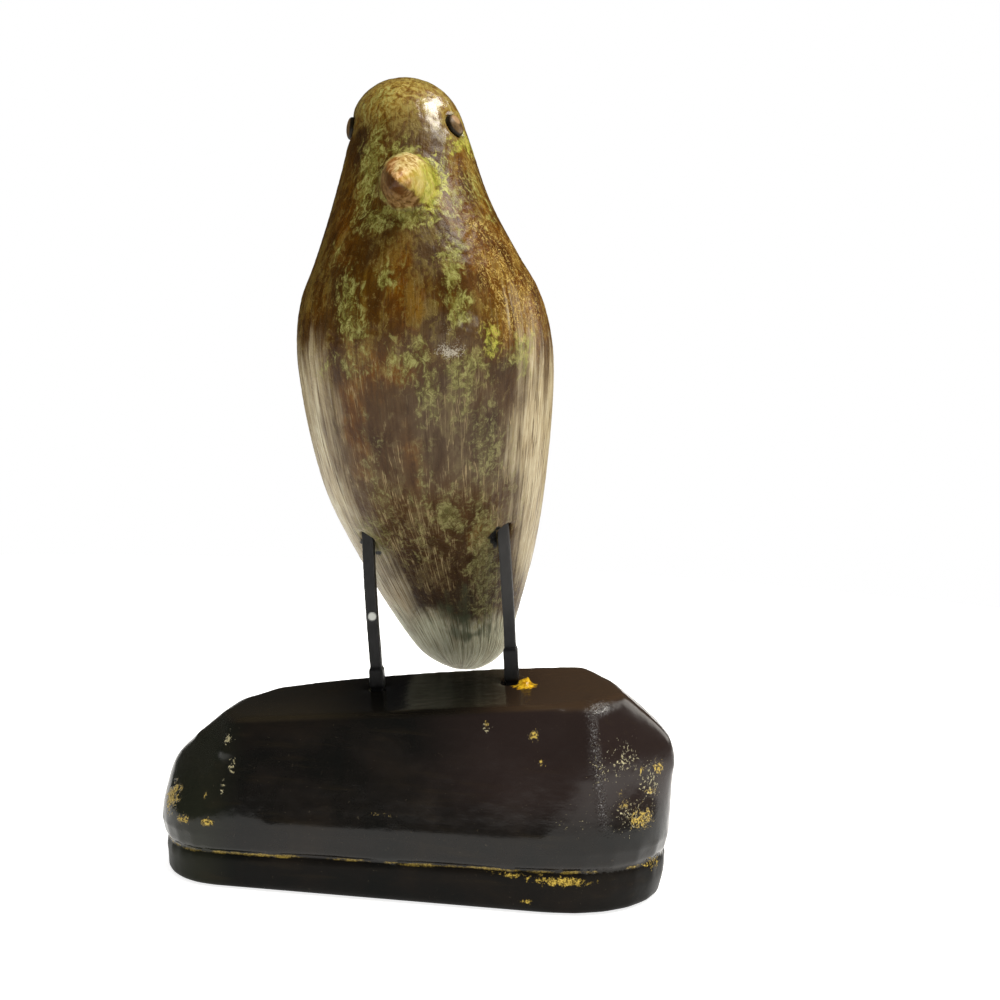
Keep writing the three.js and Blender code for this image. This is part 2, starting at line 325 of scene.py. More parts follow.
def softLamp(name, lamp, shade, aim):
    data = bpy.data.lights.new(name, "AREA")
    data.size = lamp["size"]
    data.energy = lamp["power"]
    data.color = shade
    turn, lift = math.radians(lamp["turn"]), math.radians(lamp["lift"])
    away = Vector((math.sin(turn) * math.cos(lift), -math.cos(turn) * math.cos(lift),
                   math.sin(lift)))
    made = bpy.data.objects.new(name, data)
    made.visible_glossy = lamp["gloss"]
    bpy.context.scene.collection.objects.link(made)
    made.matrix_world = (Matrix.Translation(Vector(aim) * mm + away * lamp["far"])
                         @ away.to_track_quat("Z", "Y").to_matrix().to_4x4())


def buildStudio(s):
    for name, lamp in s["lamps"].items():
        softLamp(name + "Lamp", lamp, s["lampColour"], s["aim"])
    world = bpy.data.worlds.new("studio")
    world.use_nodes = True
    tree = world.node_tree
    back = tree.nodes["Background"]
    path = addNode(tree, "ShaderNodeLightPath")
    seen = maths(tree, "MAXIMUM", path.outputs["Is Camera Ray"], path.outputs["Is Diffuse Ray"])
    level = fade(tree, seen, 0, 1, s["skyInGloss"], s["sky"])
    level = maths(tree, "MAXIMUM", level, path.outputs["Is Camera Ray"])
    tree.links.new(level, back.inputs["Strength"])
    back.inputs["Color"].default_value = (1, 1, 1, 1)
    bpy.context.scene.world = world

    bm = bmesh.new()
    bmesh.ops.create_circle(bm, cap_ends=True, segments=96, radius=s["floorRadius"])
    mesh = bpy.data.meshes.new("floor")
    bm.to_mesh(mesh)
    bm.free()
    floor = linkObject("floor", mesh)
    made, tree, shader, coords = newMaterial("paleFloor")
    shader.inputs["Base Color"].default_value = s["floorShade"]
    shader.inputs["Roughness"].default_value = 0.9
    shader.inputs["Specular IOR Level"].default_value = 0.0
    shader.inputs["Emission Color"].default_value = (1, 1, 1, 1)
    shader.inputs["Emission Strength"].default_value = s["floorGlow"]
    floor.data.materials.append(made)


buildStudio(studio)
view = bpy.context.scene.view_settings
view.view_transform = "Standard"
view.look = "None"
print("studio lit")


# bird

bird = {
    "voxel": 0.00072,
    "lean": -16,          # degrees, the body's long axis against upright
    "girth": 36,          # mm, half width at the breast, where brush lines are widest apart
    "relief": {"swell": 0.12, "grain": 0.07, "crackle": 0.12, "crease": 0.35, "knife": 0.4},
    "seed": 11,
    # paint spots strewn over the sides the photo hides: mm, and height against width
    "strewn": {"spots": 70, "x": (-26, 36), "z": (80, 222), "wide": (2.5, 7), "tall": (1.2, 3),
               "strength": (0.5, 0.95), "spread": 1.6, "limeSpread": 0.8},
    "ragged": (2.4, 4.5),  # mm, how far the paint's edges wander across and along
    "olive": 0.3,         # how much of the old olive coat is left
    "shine": 0.06,
    "varnish": {"low": 0.12, "high": 1.0, "from": (205, 217)},   # thickest on the head
    "upperFrom": (125, 160),   # mm up, where the ground turns from mauve to amber
    "crownFrom": (204, 220),
    "calmBand": (100, 112, 152, 20),   # mm up: starts, full, ends, and how softly it ends
    "flankTop": {"left": 164, "right": 167},   # mm up, where the pale flanks begin
    "tailTop": 78,
}

beak = {"root": (-6.5, -29.9, 193.3), "tip": (-6.2, -47.2, 189.1), "radius": 7.6}

# paint, with painted shade and a painted highlight among it, seen from the front, for each kind: x,
# z, half width, half height in mm, strength
frontPaint = {
    "lime": [
        (-17, 217, 3.5, 4, 0.55), (-17, 198, 2.5, 10, 0.9), (-16, 207, 2.5, 3, 0.75),
        (-17, 187, 2.5, 4, 0.6), (-9, 202, 4, 1.5, 0.8), (-6, 184.5, 7.5, 2, 1.7),
        (6, 105, 3, 3.5, 1.1), (-17, 181, 2.5, 2.5, 0.45), (2, 200, 1.5, 4, 0.5),
        (5, 190, 1.5, 2, 0.75), (9, 194, 1.5, 4.5, 0.45), (14, 188, 1.5, 4.5, 0.45),
        (7, 171, 2.5, 8, 1), (9, 160, 2.5, 2, 0.95), (-8, 167, 2.5, 2.5, 0.95),
        (-19, 161, 2.5, 7, 0.8), (-18, 154, 2.5, 2.5, 0.9), (-24, 175, 1.5, 2.5, 0.4),
        (-3, 147, 3.5, 4.5, 0.9),
        (25, 151, 1.5, 4, 0.95), (14, 147, 3, 3.5, 0.85), (9, 142, 3, 3, 0.95),
        (-20, 145, 7.5, 1.5, 0.65), (2, 136, 2, 5, 0.7), (10, 135, 1.5, 2.5, 0.6),
        (17, 126, 3.5, 10.5, 0.65), (0, 118, 2, 7, 0.35), (-15, 119, 3, 11, 0.35),
        (-12, 110, 4, 5, 0.35), (4, 110, 12.5, 5.5, 0.35), (-18, 97, 4, 4, 0.95),
        (15, 92, 3.5, 14.5, 0.95), (15, 77, 3, 8.5, 0.8), (-5, 97, 6.5, 6.5, 0.35),
        (24, 116, 3, 11.5, 0.35),
    ],
    "rim": [
        (1, 193, 1.5, 6, 1), (-2, 198, 2, 2, 0.9), (6, 207, 2.5, 1.5, 1), (18, 153, 2, 2.5, 0.62),
    ],
    "amber": [
        (7, 187, 4, 4, 0.95), (5, 198, 2.5, 10, 0.7), (15, 177, 7.5, 11.5, 0.85),
        (25, 166, 6.5, 10.5, 0.85), (-5, 161, 4.5, 5.5, 0.95), (-5, 171, 2, 5.5, 0.7),
        (-23, 184, 3, 7, 0.7), (-22, 173, 3.5, 7, 0.6), (-9, 143, 9, 3.5, 0.8),
        (-14, 139, 6, 4.5, 0.5), (25, 158, 6, 4.5, 0.95), (-13, 215, 4, 4.5, 0.5),
        (-28, 159, 4, 8, 0.5), (1, 78, 5, 8, 0.35), (-19, 131, 4, 14, 0.7), (-3, 122, 3, 9, 0.5),
        (12, 102, 3, 5, 0.5),
    ],
    # umber paint; the strong spots low between the legs, 70 to 100 mm up, are painted shade under
    # the belly
    "umberAndShade": [
        (-21, 203, 1.5, 7.5, 0.9), (-23, 162, 4, 13.5, 0.5), (-11, 177, 5, 5.5, 0.5),
        (-9, 161, 2.5, 10.5, 0.5), (21, 146, 5, 3, 0.7), (2, 84, 16, 13, 1.5), (0, 70, 15, 12, 1.1),
        (-4, 100, 13, 7, 0.6),
    ],
    "mauve": [
        (-5, 210, 7, 9.5, 0.8), (1, 175, 6, 10, 0.75), (14, 170, 3.5, 8, 0.7),
        (5, 155, 11, 5, 0.75), (8, 129, 16, 16.5, 0.9), (-22, 131, 7, 10, 0.6),
        (22, 141, 4.5, 4, 0.6),
        (-15, 174, 2, 5.5, 0.4),
    ],
    "smear": [
        (10, 68, 8, 2.5, 0.9), (5, 74, 6.5, 4, 0.6), (8, 79, 5, 3, 0.4),
    ],
    "gold": [
        (19, 174, 5.5, 9, 0.8), (24, 164, 5.5, 9, 0.8), (13, 182, 4.5, 4.5, 0.7),
        (21, 156, 5, 5, 0.5), (9, 201, 3, 10.5, 0.4),
    ],
    # a painted highlight on the breast
    "chestGlint": [
        (7.5, 151, 1.7, 1.9, 0.75),
    ],
    # near-black spots where the legs go into the body
    "darkAtLegTops": [
        (-23, 97, 0.5, 0.5, 0.9), (-18, 93, 0.6, 0.8, 0.9), (17.5, 98, 0.6, 1.8, 1),
        (19.5, 101, 1, 0.5, 0.95),
    ],
}


def spotAmount(places, weight, x, z, wide, high):
    distance = ((places[:, 0] - x) / (wide + 0.6)) ** 2 + ((places[:, 2] - z) / (high + 0.8)) ** 2
    return np.exp(-0.75 * distance) * weight


def paintBird(mesh, b):
    places, normals = pointsOf(mesh)
    flow = bodyFlow(places, b["girth"])
    layer = mesh.attributes.new("flow", "FLOAT_VECTOR", "POINT")
    layer.data.foreach_set("vector", (flow * mm).astype(np.float32).ravel())
    front = smoothStep(-normals[:, 1], -0.1, 0.15)
    ragged = places.copy()
    for axis, reach in ((0, b["ragged"][0]), (2, b["ragged"][1])):
        ragged[:, axis] += reach * noiseField(places, (5, 5, 7), (axis * 7 + 2, 5, 1), 2)
    layers = {kind: np.zeros(len(places)) for kind in frontPaint}
    for kind, spots in frontPaint.items():
        for x, z, wide, high, strength in spots:
            amount = strength * spotAmount(ragged, front, x, z, wide, high)
            layers[kind] = np.maximum(layers[kind], amount)

    # the sides that the photo hides carry the same worn paint, strewn more loosely
    rng = random.Random(b["seed"])
    hidden = 1 - front
    strewn = b["strewn"]
    for spot in range(strewn["spots"]):
        kind = rng.choice(("lime", "lime", "amber", "amber", "mauve", "umberAndShade"))
        z = rng.uniform(*strewn["z"])
        x = rng.uniform(*strewn["x"])
        wide = rng.uniform(*strewn["wide"]) * strewn["limeSpread" if kind == "lime" else "spread"]
        high = wide * rng.uniform(*strewn["tall"])
        amount = rng.uniform(*strewn["strength"]) * spotAmount(ragged, hidden, x, z, wide, high)
        layers[kind] = np.maximum(layers[kind], amount)

    # pale flanks and tail: how far round the body, and how low
    wave = noiseField(places, (22, 22, 26), (3, 1, 4))
    middle = 6.5 + 0.08 * (110 - places[:, 2])
    out = (places[:, 0] - middle) / 36 + 0.09 * wave
    fringe = noiseField(flow, (2.6, 2.6, 40), (6, 2, 5), 3)
    upward = places[:, 2]
    below = lambda top, span: smoothStep(top - upward + 6 * wave, 0, span)
    frayed = lambda top, span: smoothStep(top - upward + 9 * wave + 12 * fringe, 0, span)
    left = smoothStep(-out, 0.68, 1.06) * frayed(b["flankTop"]["left"], 34)
    left = np.maximum(left, smoothStep(-out, 0.38, 0.94) * below(114, 30))
    left = np.maximum(left, smoothStep(-out, 0.3, 0.66) * below(94, 20))
    right = smoothStep(out, 0.38, 0.66) * frayed(b["flankTop"]["right"], 30)
    tail = below(b["tailTop"], 12)
    belly = 0.08 * below(124, 26) * (1 - 0.6 * below(108, 10))
    worn = 1 - 0.55 * hidden * smoothStep(wave + 0.5 * fringe, 0, 0.5)
    layers["pale"] = np.maximum.reduce([left * worn, right * worn, 0.9 * tail, belly])
    layers["grey"] = np.maximum(0.85 * tail, 0.15 * below(140, 20) * smoothStep(-out, 0.45, 0.8))

    # the beak: its own cream top and brown underside, with painted light on the top and painted
    # shade underneath, a warm tip, green at the root
    share = beakShare(places)
    along, _, aside = beakFrame(places)
    rough = 0.25 * noiseField(places, (2.2, 2.2, 2.2), (4, 4, 8), 3)
    # the split follows the light: painted light on the side facing up and to the right, painted
    # shade on the rest
    lit = aside[:, 2] + 0.75 * aside[:, 0] + rough
    upper = smoothStep(lit, -0.2, 0.15)
    paintLayer(mesh, "beakLitTop", share * upper)
    paintLayer(mesh, "beakShadedUnder", share * (1 - upper))
    paintLayer(mesh, "beakTip", smoothStep(along + rough, 0.45, 0.9))
    warm = smoothStep(-aside[:, 0] + rough, -0.1, 0.5) * smoothStep(along + rough, 0.1, 0.35)
    paintLayer(mesh, "beakWarm", np.maximum(warm, 0.8 * smoothStep(along + rough, 0.6, 0.9)))
    paintLayer(mesh, "beakGreen", smoothStep(aside[:, 0] - 0.35 * aside[:, 2] + rough, 0.3, 0.8))
    rightSide = 0.8 * smoothStep(aside[:, 0], 0.4, 0.8) * smoothStep(0.5 - along, 0, 0.25)
    leftRoot = smoothStep(0.3 * aside[:, 2] - aside[:, 0], -0.1, 0.6)
    leftRoot = leftRoot * smoothStep(0.4 - along, 0, 0.2)
    chinCurls = 0.6 * smoothStep(-aside[:, 2], 0.5, 0.9) * smoothStep(0.25 - along, 0, 0.15)
    for kind in ("lime", "rim", "mauve", "amber"):
        layers[kind] = layers[kind] * (1 - share)
    layers["rim"] = np.maximum(layers["rim"], 0.9 * share * rightSide)
    layers["lime"] = np.maximum(layers["lime"], 0.8 * share * np.maximum(leftRoot, chinCurls))
    for name, amounts in layers.items():
        paintLayer(mesh, name, amounts)
    paintLayer(mesh, "crease", creaseShare(places))
    paintLayer(mesh, "upper", smoothStep(upward + 6 * wave, *b["upperFrom"]))
    start, full, end, soft = b["calmBand"]
    calm = smoothStep(upward + 5 * wave, start, full) * smoothStep(end - upward + 5 * wave, 0, soft)
    paintLayer(mesh, "calm", calm)
    # the crown's own yellow-olive paint, lightened as painted light from above
    paintLayer(mesh, "crown", smoothStep(upward + 3 * wave, *b["crownFrom"]))
    v = b["varnish"]
    thick = smoothStep(upward + 3 * wave, *v["from"])
    paintLayer(mesh, "varnish", v["low"] + (v["high"] - v["low"]) * thick)


def creaseShare(places):
    # the line under the beak where it meets the throat, and the slit of the mouth
    along, distance, aside = beakFrame(places)
    under = smoothStep(-aside[:, 2], 0.55, 0.85)
    chin = np.exp(-((along + 0.02) / 0.05) ** 2) * under * smoothStep(12 - distance, 0, 3)
    slit = np.exp(-((along - 0.8) / 0.1) ** 2) * np.exp(-((aside[:, 2] + 0.35) / 0.3) ** 2)
    slit = slit * smoothStep(5 - distance, 0, 2)
    return np.maximum(chin, 0.7 * slit)


def beakFrame(places):
    # share along the beak from root to tip, distance from its axis, and direction away from it
    root = np.array(beak["root"])
    axis = np.array(beak["tip"]) - root
    length = np.linalg.norm(axis)
    axis = axis / length
    reach = (places - root) @ axis
    aside = places - root - reach[:, None] * axis
    distance = np.linalg.norm(aside, axis=1)
    return reach / length, distance, aside / np.maximum(distance, 0.01)[:, None]


def beakShare(places):
    along, distance, aside = beakFrame(places)
    girth = beak["radius"] * np.clip(1 - along, 0, 1) ** 0.82 + 1.6
    return smoothStep(along, -0.06, 0.08) * smoothStep(girth - distance, 0, 0.9)


def carveBird(mesh, b):
    places, normals = pointsOf(mesh)
    r = b["relief"]
    plain = 1 - 0.75 * beakShare(places)
    lean = math.radians(b["lean"])
    along = places[:, 2] * math.cos(lean) + places[:, 1] * math.sin(lean)
    across = places[:, 1] * math.cos(lean) - places[:, 2] * math.sin(lean)
    fibres = np.column_stack((places[:, 0], across, along))
    swell = noiseField(fibres, (15, 15, 34), (0, 5, 9), 2)
    grain = noiseField(bodyFlow(places, b["girth"]), (1.7, 1.7, 22), (2, 0, 7), 2)
    crackle = noiseField(places, (2.6, 2.6, 3.2), (8, 3, 1), 3)
    upper = smoothStep(places[:, 2], 120, 165)
    height = r["swell"] * swell + r["grain"] * grain * (1 - 0.6 * upper)
    height += r["crackle"] * (np.abs(crackle) * -1.6 + 0.4) * (0.45 + 0.55 * upper)
    height -= r["crease"] * creaseShare(places)
    cuts = noiseField(places, (4, 4, 4), (7, 7, 2), 2)
    height = height * plain + r["knife"] * beakShare(places) * cuts
    movePoints(mesh, places + normals * height[:, None])


def birdMaterial(b):
    made, tree, shader, coords = newMaterial("wornPaint")
    body = stretched(tree, coords, (1, 1, 1), (math.radians(b["lean"]), 0, 0))
    clouds = noiseOf(tree, stretched(tree, body, (1, 1, 0.4)), 140, 5, 0.62, 0.5)
    mottle = noiseOf(tree, stretched(tree, body, (1, 1, 0.65)), 560, 4, 0.66, 0.9)
    worm = noiseOf(tree, stretched(tree, body, (1, 1, 0.6)), 760, 2, 0.5, 1.3)
    curl = noiseOf(tree, stretched(tree, body, (1, 1, 0.75)), 1150, 2, 0.5, 1.0)
    crazing = noiseOf(tree, stretched(tree, body, (1, 1, 0.7)), 540, 3, 0.55, 1.4)
    flow = addNode(tree, "ShaderNodeAttribute", attribute_name="flow").outputs["Vector"]
    hairs = noiseOf(tree, stretched(tree, flow, (1, 1, 0.07)), 700, 2, 0.5)
    fibres = noiseOf(tree, stretched(tree, flow, (1, 1, 0.07)), 1500, 2, 0.6)
    streaks = noiseOf(tree, stretched(tree, flow, (1, 1, 0.12)), 330, 5, 0.68, 0.2)
    grit = noiseOf(tree, coords, 2600, 3, 0.6)
    upper = painted(tree, "upper")
    onBeak = maths(tree, "ADD", painted(tree, "beakLitTop"), painted(tree, "beakShadedUnder"))
    plain = fade(tree, onBeak, 0.1, 0.7, 1, 0.45)
    busy = maths(tree, "SUBTRACT", 1.0, times(tree, painted(tree, "calm"), 0.85))

    # ground: amber brown above, mauve and red brown below
    tone = maths(tree, "ADD", times(tree, clouds, 0.55), times(tree, streaks, 0.45))
    shade = colourRamp(tree, tone, [
        (0.38, (50, 32, 16)), (0.46, (64, 45, 25)), (0.54, (76, 58, 36)),
        (0.62, (88, 70, 46))])
    amberGround = colourRamp(tree, tone, [
        (0.38, (54, 31, 3)), (0.47, (70, 44, 5)), (0.55, (85, 59, 10)),
        (0.63, (102, 78, 24))])
    shade = blendColour(tree, upper, shade, amberGround)
    mauveTone = colourRamp(tree, tone, [
        (0.4, (56, 43, 30)), (0.5, (69, 55, 40)), (0.6, (82, 68, 50))])
    mauveArea = times(tree, torn(tree, "mauve", clouds, 1.6, 0.4), 0.8)
    shade = blendColour(tree, mauveArea, shade, mauveTone)
    amberTone = colourRamp(tree, tone, [
        (0.4, (67, 36, 0)), (0.5, (88, 51, 2)), (0.6, (108, 69, 6))])
    amberArea = times(tree, torn(tree, "amber", clouds, 1.6, 0.4), 0.9)
    shade = blendColour(tree, amberArea, shade, amberTone)
    # the crown's own yellow-olive paint, lightened as painted light from above
    crownTone = colourRamp(tree, mottle, [
        (0.38, (114, 78, 18)), (0.5, (154, 128, 54)), (0.62, (184, 166, 88))])
    shade = blendColour(tree, times(tree, painted(tree, "crown"), 0.75), shade, crownTone)
    # umber paint, and painted shade low between the legs
    umberAndShadeTone = colourRamp(tree, tone, [(0.4, (36, 22, 9)), (0.6, (56, 38, 20))])
    umberAndShadeArea = times(tree, torn(tree, "umberAndShade", streaks, 1.6, 0.4), 0.92)
    shade = blendColour(tree, umberAndShadeArea, shade, umberAndShadeTone)

    # olive and cream paint left in the hollows
    oliveTone = blendColour(tree, upper, colour(96, 86, 58), colour(112, 98, 42))
    patches = times(tree, maths(tree, "SUBTRACT", clouds, 0.5), 1.2)
    left = fade(tree, maths(tree, "ADD", mottle, patches), 0.51, 0.62)
    shade = blendColour(tree, times(tree, left, b["olive"]), shade, oliveTone)
    furrow = times(tree, ridge(tree, worm, 0.04), fade(tree, mottle, 0.58, 0.46), busy, 0.45)
    shade = blendColour(tree, furrow, shade, colour(44, 28, 8))
    cream = times(tree, ridge(tree, curl, 0.04), fade(tree, mottle, 0.5, 0.62), busy, 0.28)
    shade = blendColour(tree, cream, shade, colour(148, 132, 78))

    strands = maths(tree, "ADD", times(tree, fibres, 0.65), times(tree, clouds, 0.35))
    paleTone = colourRamp(tree, strands, [
        (0.34, (118, 99, 70)), (0.43, (150, 134, 102)), (0.54, (170, 157, 126)),
        (0.64, (196, 186, 158))])
    paleArea = times(tree, torn(tree, "pale", hairs, 1.2, 0.55), 0.92)
    shade = blendColour(tree, paleArea, shade, paleTone)
    greyTone = colourRamp(tree, strands, [(0.38, (118, 118, 96)), (0.58, (192, 192, 166))])
    greyArea = times(tree, torn(tree, "grey", clouds, 1.6, 0.5), 0.85)
    shade = blendColour(tree, greyArea, shade, greyTone)

    # brushed scratches along the body
    scratch = times(tree, ridge(tree, hairs, 0.02), fade(tree, clouds, 0.44, 0.56),
                    fade(tree, upper, 0, 1, 0.62, 0.12))
    shade = blendColour(tree, scratch, shade, colour(146, 128, 92))
    groove = times(tree, fade(tree, fibres, 0.42, 0.34), fade(tree, upper, 0, 1, 0.5, 0.3))
    shade = blendColour(tree, groove, shade, colour(52, 38, 20))

    # the beak, from its lit top to the dark underside: painted light and painted shade over its own
    # cream and brown
    beakLitTone = colourRamp(tree, mottle, [
        (0.40, (128, 98, 48)), (0.5, (174, 150, 90)), (0.6, (202, 184, 138))])
    green = times(tree, painted(tree, "beakGreen"), 0.7)
    beakLitTone = blendColour(tree, green, beakLitTone, colour(160, 148, 60))
    warmTone = colourRamp(tree, mottle, [(0.42, (138, 80, 28)), (0.6, (206, 158, 104))])
    beakLitTone = blendColour(tree, times(tree, painted(tree, "beakWarm"), 0.8), beakLitTone, warmTone)
    shade = blendColour(tree, times(tree, painted(tree, "beakLitTop"), 0.92), shade, beakLitTone)
    beakShadedTone = colourRamp(tree, mottle, [
        (0.4, (72, 48, 22)), (0.5, (104, 78, 44)), (0.6, (132, 104, 70))])
    # darkest painted shade just under the tip
    beakShadedTone = blendColour(tree, painted(tree, "beakTip"), beakShadedTone, colour(70, 42, 18))
    shade = blendColour(tree, times(tree, painted(tree, "beakShadedUnder"), 0.92), shade, beakShadedTone)

    # gold, lime and grey-green paint on top, worn through in places
    gold = times(tree, ridge(tree, crazing, 0.038), torn(tree, "gold", mottle, 1.8, 0.35), 0.66)
    shade = blendColour(tree, gold, shade, colour(190, 164, 90))
    limeTone = colourRamp(tree, mottle, [
        (0.40, (84, 80, 32)), (0.5, (116, 114, 54)), (0.62, (148, 148, 84))])
    lowLime = colourRamp(tree, mottle, [
        (0.40, (74, 70, 38)), (0.5, (98, 94, 56)), (0.62, (124, 120, 78))])
    limeTone = blendColour(tree, upper, lowLime, limeTone)
    solid = maths(tree, "SUBTRACT", 1.0, times(tree, ridge(tree, crazing, 0.05), 0.75))
    brushed = maths(tree, "ADD", times(tree, mottle, 0.6), times(tree, streaks, 0.4))
    limeArea = times(tree, torn(tree, "lime", brushed, 3.4, 0.34), solid, 0.78)
    shade = blendColour(tree, limeArea, shade, limeTone)
    rimTone = colourRamp(tree, mottle, [(0.42, (104, 108, 26)), (0.6, (160, 158, 66))])
    rimArea = times(tree, torn(tree, "rim", mottle, 2.4, 0.25), solid, 0.9)
    shade = blendColour(tree, rimArea, shade, rimTone)
    smear = times(tree, torn(tree, "smear", streaks, 2.2, 0.4), 0.8)
    shade = blendColour(tree, smear, shade, colour(60, 66, 46))

    # small marks: the crease, a painted highlight on the breast, near-black spots where the legs go
    # in, and pits
    shade = blendColour(tree, times(tree, painted(tree, "crease"), 0.6), shade, colour(48, 32, 16))
    # the painted highlight on the breast
    paintedGlint = times(tree, torn(tree, "chestGlint", grit, 2.2, 0.3), 0.6)
    shade = blendColour(tree, paintedGlint, shade, colour(190, 184, 166))
    # near-black spots where the legs go into the body
    shade = blendColour(tree, torn(tree, "darkAtLegTops", mottle, 1.0, 0.15), shade, colour(14, 14, 12))
    pits = times(tree, fade(tree, grit, 0.36, 0.28), 0.5)
    shade = blendColour(tree, pits, shade, colour(34, 23, 8))
    tree.links.new(shade, shader.inputs["Base Color"])

    rough = fade(tree, mottle, 0.35, 0.65, 0.32, 0.46)
    tree.links.new(rough, shader.inputs["Roughness"])
    tree.links.new(painted(tree, "varnish"), shader.inputs["Coat Weight"])
    shader.inputs["Specular IOR Level"].default_value = b["shine"]
    shader.inputs["Coat Roughness"].default_value = 0.2
    tree.links.new(bumped(tree, streaks, 0.2, 0.0004), shader.inputs["Coat Normal"])
    surface = bumped(tree, streaks, 0.35, 0.0004)
    surface = bumped(tree, times(tree, fibres, plain), 0.35, 0.0003, surface)
    surface = bumped(tree, times(tree, worm, plain), 0.35, 0.0005, surface)
    surface = bumped(tree, times(tree, curl, plain), 0.3, 0.0004, surface)
    tree.links.new(surface, shader.inputs["Normal"])
    return made


def buildBird(b):
    beside = lambda p: p.z < 184 or p.z > 202 or p.y > -26   # all but the beak
    piece = skinOf("bird_body", "carved_bird", b["voxel"], [(18, everywhere), (6, beside)])
    paintBird(piece.data, b)
    carveBird(piece.data, b)
    finishPiece(piece, birdMaterial(b), "bird_body")


buildBird(bird)


# block

block = {
    "voxel": 0.00068,
    "relief": {"swell": 0.12, "peel": 0.03},
    "shine": 0.195, "footShine": 0.042,
    "tilt": 1.2,                # degrees, the groove and rim against level
    "rise": 0.02,               # the same as mm up for each mm in X
    "topRise": 0.109,           # and that of the top face
    "groove": {"middle": 12.7, "half": 4.3, "line": 11.2, "thin": 0.4},   # mm up
    "rimTop": 17.2, "topEdge": 45.5, "footTop": 10.9,   # mm up at the middle
    "level": 0.86,              # how upright a face's normal is on the top face
    "knock": {"place": (48.5, -21, 54.5), "reach": 8},   # where the corner is worn round, mm
    # the polished ridge at one end, and the glint along the corner above it, mm
    "ridge": {"x": 48.3, "top": 54.7, "slope": 6, "shift": 0.9, "wide": 1.6, "strength": 0.6},
    "corner": {"place": (51.6, -17.2, 55.6), "along": (0.70, 0.69, 0.18),
               "length": 4.2, "wide": 1.9, "strength": 1.7},
    "coat": {"rough": 0.12, "ior": 2.2},   # on the polished grains
}

# bare yellow showing through the lacquer: x, y, z, half length in x, y, z, strength
bareSpots = [
    (-68, -18, 22, 3.5, 7, 3.6, 0.75), (-62, -24, 18.5, 3, 5, 1.4, 0.6),
    (-54, -27, 19, 2.2, 4, 1.3, 0.7), (-56, -25, 26, 1, 3, 1, 0.5),
    (64, -16, 26, 4.2, 7, 3.2, 0.66), (59, -18, 30, 2.2, 4, 1.6, 0.6),
    (69, -9, 38, 2, 5, 2.6, 0.55), (64, -13, 38, 1.6, 4, 1.2, 0.5),
    (67, -11, 32, 2, 5, 1.4, 0.6), (58, -18, 33, 1.2, 3, 1, 0.5),
    (34, -22, 48, 1.4, 3, 1.5, 0.8), (36, -23, 41, 2, 3, 1, 0.6),
    (21, -21, 50, 0.8, 3, 1.2, 0.6), (-6, -26, 24.5, 4.5, 3, 0.5, 0.45),
    (44, -26, 9.8, 9, 3, 1.3, 0.85), (30, -26, 10.6, 6, 3, 0.7, 0.6),
    (35, -26, 3.6, 2.2, 3, 0.6, 0.65), (68, -13, 12, 4, 7, 2.4, 0.5),
]
palePecksAndGlint = [                      # pale pecks, the same measures; the tall one on the ridge at x 52 is a painted glint
    (-51, -22, 41, 2, 4, 2.6, 0.5), (-49, -24, 34, 1.2, 4, 3, 0.5), (-51, -25, 28, 1, 4, 3, 0.5),
    (-60, -20, 38, 3, 5, 2, 0.4), (58, -16, 42, 8, 8, 7, 0.38), (66, -11, 34, 6, 8, 8, 0.4),
    (60, -18, 27, 8, 8, 7, 0.36), (52, -22, 40, 4, 6, 12, 0.34), (21, -21, 49, 2, 3, 2, 0.4),
    (45, -24, 26, 8, 4, 5, 0.3),
]
# lump of yellow paint at the foot of one leg, mm
yellowLump = {"place": (29.8, 2, 57), "radius": 3.3, "ragged": 1.6, "height": 2.4}


def fromLump(places):
    return np.linalg.norm(places - np.array(yellowLump["place"]), axis=1)


def polished(places, b):
    # how much the ridge and the corner above it are polished by handling
    r = b["ridge"]
    ridgeX = r["x"] + (r["top"] - places[:, 2]) / r["slope"]
    glint = np.exp(-((places[:, 0] - ridgeX - r["shift"]) / r["wide"]) ** 2)
    glint = glint * smoothStep(-places[:, 1], 8, 16) * smoothStep(places[:, 2], 20, 30)
    c = b["corner"]
    along = np.array(c["along"])
    offset = places - np.array(c["place"])
    reach = offset @ along                       # along the edge of the top face
    aside = np.linalg.norm(offset - reach[:, None] * along, axis=1)
    corner = np.exp(-(reach / c["length"]) ** 2 - (aside / c["wide"]) ** 2)
    return np.maximum(r["strength"] * glint, c["strength"] * corner)


